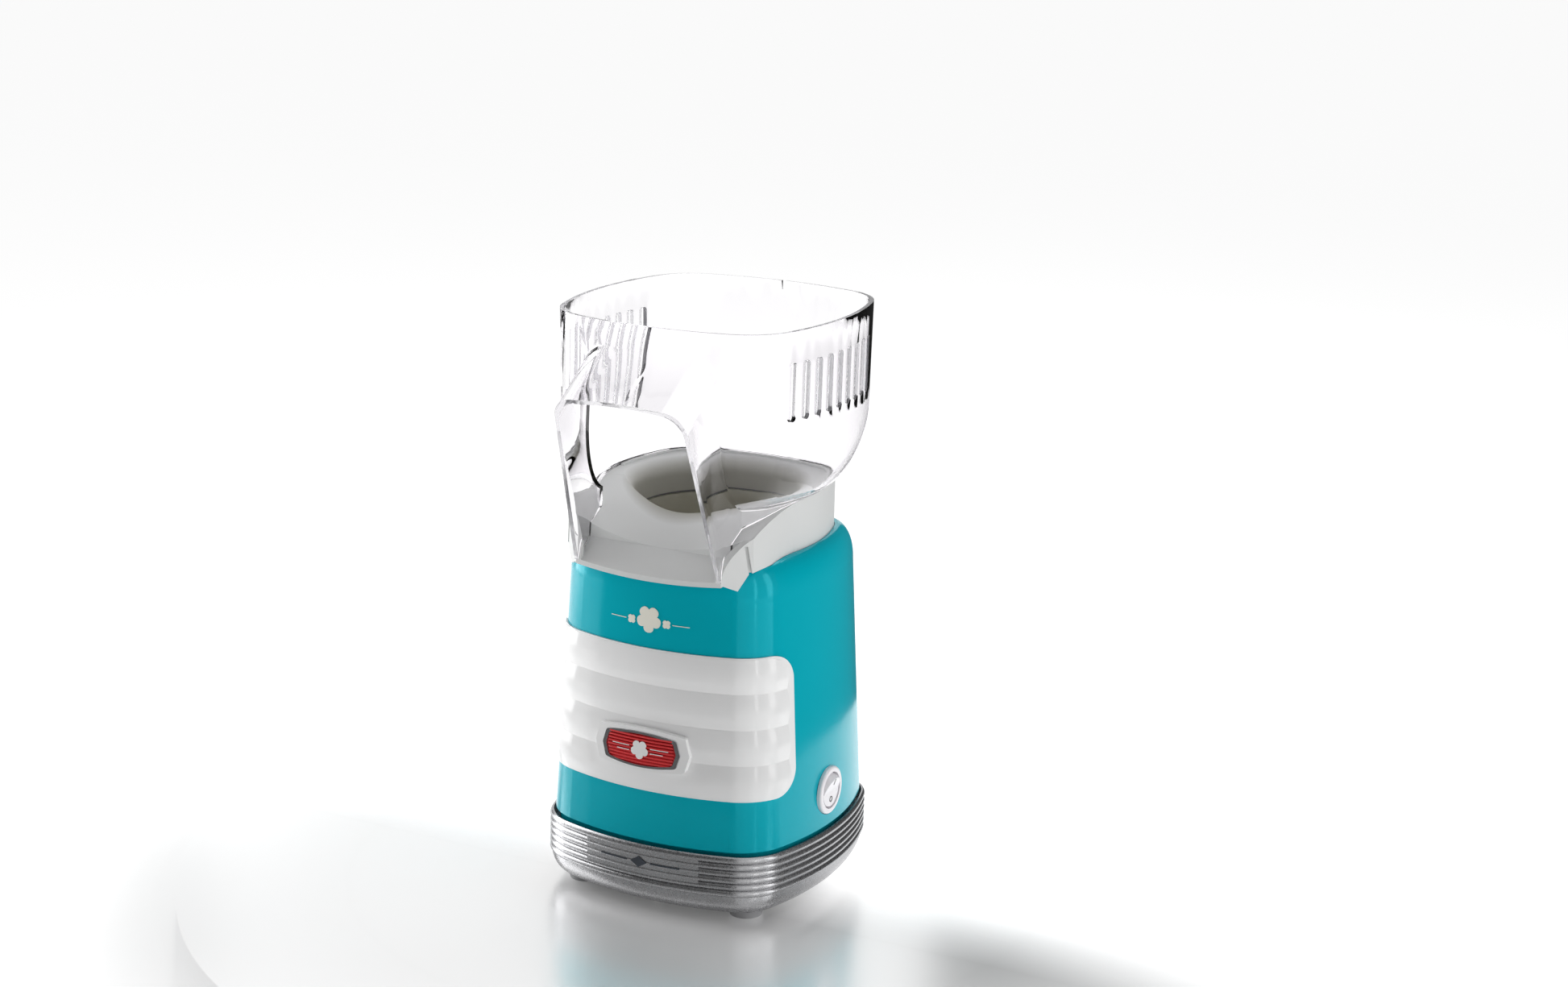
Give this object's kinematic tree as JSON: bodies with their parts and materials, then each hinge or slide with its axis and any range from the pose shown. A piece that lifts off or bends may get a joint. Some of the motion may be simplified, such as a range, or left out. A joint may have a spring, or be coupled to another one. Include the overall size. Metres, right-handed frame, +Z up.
{
  "type": "hot-air popcorn maker",
  "caption": "Hot-air popcorn maker with a tapered body on a ribbed base, a round popping chamber, a rocker switch and a clear lift-off hood with a pouring chute.",
  "frame": {"origin": "on the floor under the middle of the whole object; the popping chamber's axis stands 13.5 mm behind it", "axes": "+Z up, -Y towards the chute and the badge, +X towards the switch"},
  "size_m": [0.1404, 0.1643, 0.2817],
  "materials": {
    "blade_plastic": "matte",
    "brass_tabs": "tin plated",
    "bronze": "sintered",
    "chamber_aluminium": "dull anodised",
    "chrome_trim": "polished",
    "circuit_board": "lacquered",
    "clear_plastic": "clear, polished",
    "dark_plastic": "matte",
    "galvanised": "spangled",
    "grey_rubber": "matte",
    "heater_alloy": "oxidised",
    "light_grey": "fine matte",
    "mica": "flaky",
    "motor_steel": "satin",
    "phenolic": "matte",
    "red_label": "ribbed, lacquered",
    "screw_steel": "zinc plated",
    "silicone": "matte",
    "silver_paint": "satin metallic paint",
    "switch_white": "semi gloss",
    "turquoise": "high gloss",
    "white_gloss": "high gloss",
    "wire_blue": "soft PVC",
    "wire_brown": "soft PVC"
  },
  "bodies": {
    "housing": {"air_duct": "galvanised", "badge_frame": "white_gloss", "badge_label": "red_label", "badge_ring": "chrome_trim", "base_ring": "silver_paint", "base_screws": "screw_steel", "body_shell": "turquoise", "bottom_cover": "dark_plastic", "chamber_gasket": "silicone", "chassis_plate": "galvanised", "chute_collar": "light_grey", "collar_screws": "screw_steel", "cord_gland": "dark_plastic", "cover_screws": "screw_steel", "duct_rivets": "screw_steel", "fan_housing": "phenolic", "feet": "grey_rubber", "front_panel": "white_gloss", "heater_boards": "mica", "heater_coil": "heater_alloy", "heater_wire": "wire_blue", "live_wire": "wire_brown", "motor_bushes": "bronze", "motor_can": "motor_steel", "motor_screws": "screw_steel", "plate_screws": "screw_steel", "popping_chamber": "chamber_aluminium", "rectifier_board": "circuit_board", "switch_body": "switch_white", "switch_terminals": "brass_tabs", "terminal_block": "dark_plastic", "thermal_fuse": "screw_steel", "thermostat": "phenolic"},
    "hood": {"hood": "clear_plastic"},
    "switch_rocker": {"switch_rocker": "switch_white"},
    "rotor": {"motor_shaft": "screw_steel", "fan_impeller": "blade_plastic"}
  },
  "joints": [
    {"name": "hood_lift", "type": "slide", "parent": "housing", "child": "hood", "axis": [0, 0, 1], "range_m": [0, 0.12]},
    {"name": "rocker_tilt", "type": "hinge", "parent": "housing", "child": "switch_rocker", "pos_m": [0.0645, 0.0075, 0.053], "axis": [0, -1, 0], "range_deg": [0, 20]},
    {"name": "rotor_spin", "type": "hinge", "parent": "housing", "child": "rotor", "pos_m": [0, 0.0135, 0.0645], "axis": [0, 0, 1], "continuous": true}
  ]
}
